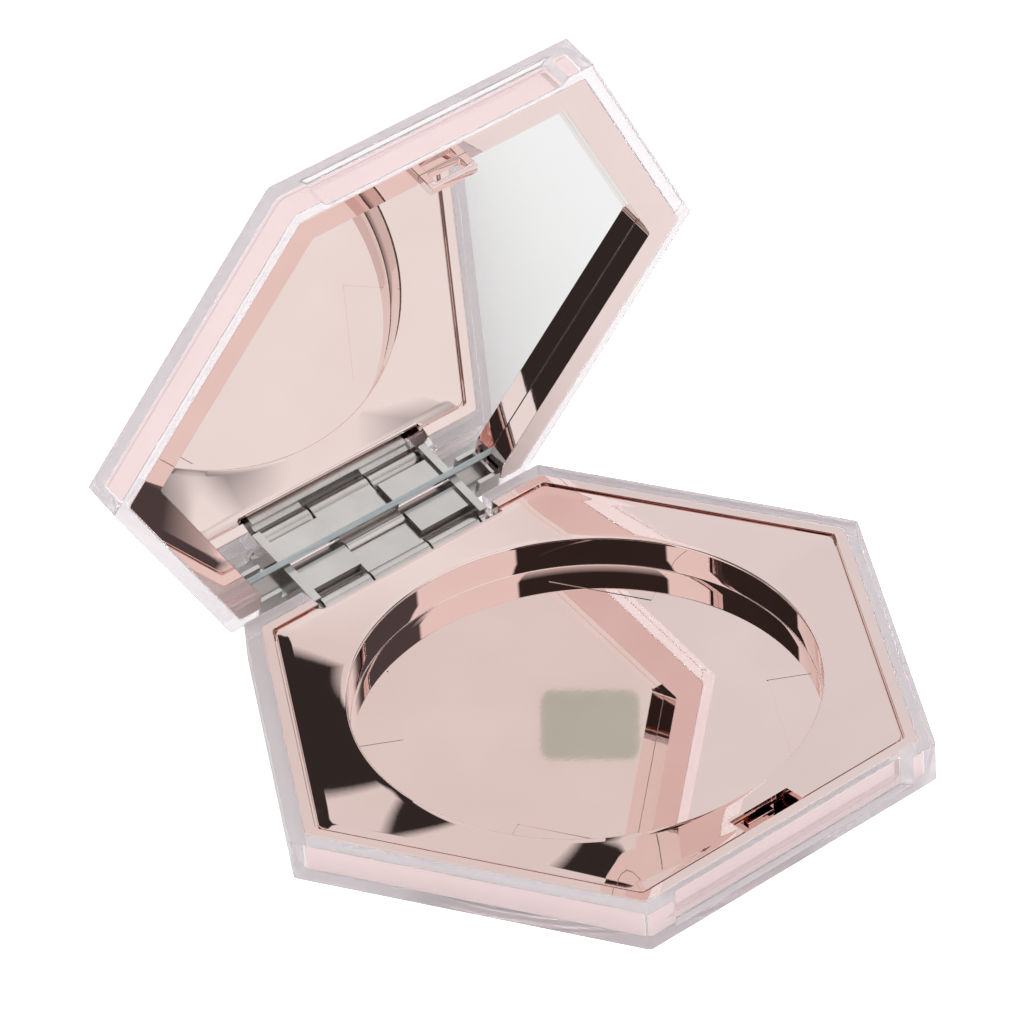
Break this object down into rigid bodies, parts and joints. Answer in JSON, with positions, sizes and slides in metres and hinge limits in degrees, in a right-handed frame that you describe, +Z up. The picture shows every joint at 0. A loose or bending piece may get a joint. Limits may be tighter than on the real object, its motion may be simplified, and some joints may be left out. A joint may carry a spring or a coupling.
{
  "type": "powder compact",
  "caption": "Hexagonal hinged powder compact with clear outer shells, rose metallised tray, round pan well and a mirror in the lid.",
  "frame": {"origin": "on the surface the compact rests on, under the middle of the hexagonal base", "axes": "+X along the hinge to the user's right, +Y from the front latch towards the hinge, +Z up; the lid stands open"},
  "size_m": [0.0918, 0.0859, 0.0784],
  "materials": {
    "clear_plastic": "polished clear moulded plastic, slightly mauve at its edges",
    "rose_metallised": "mirror-bright rose gold metallised moulding",
    "grey_metallised": "satin silver-grey metallised moulding",
    "pin_steel": "drawn steel wire",
    "mirror": "silvered float glass, faintly green at its edge",
    "tape": "double-sided foam tape"
  },
  "bodies": {
    "base": {"base_clear_shell": "clear_plastic", "base_liner": "rose_metallised", "base_deck": "rose_metallised", "latch_catch": "rose_metallised", "base_hinge_block": "grey_metallised", "hinge_pin_right": "pin_steel", "hinge_pin_left": "pin_steel"},
    "lid": {"lid_clear_shell": "clear_plastic", "lid_frame": "rose_metallised", "lid_backing_plate": "rose_metallised", "mirror_glass": "mirror", "mirror_adhesive": "tape", "lid_hinge_leaf": "grey_metallised", "latch_hook": "rose_metallised"}
  },
  "joints": [
    {"name": "lid_hinge", "type": "hinge", "parent": "base", "child": "lid", "pos_m": [0, 0.037, 0.0021], "axis": [-1, 0, 0], "range_deg": [-73.75, 21.25]}
  ]
}
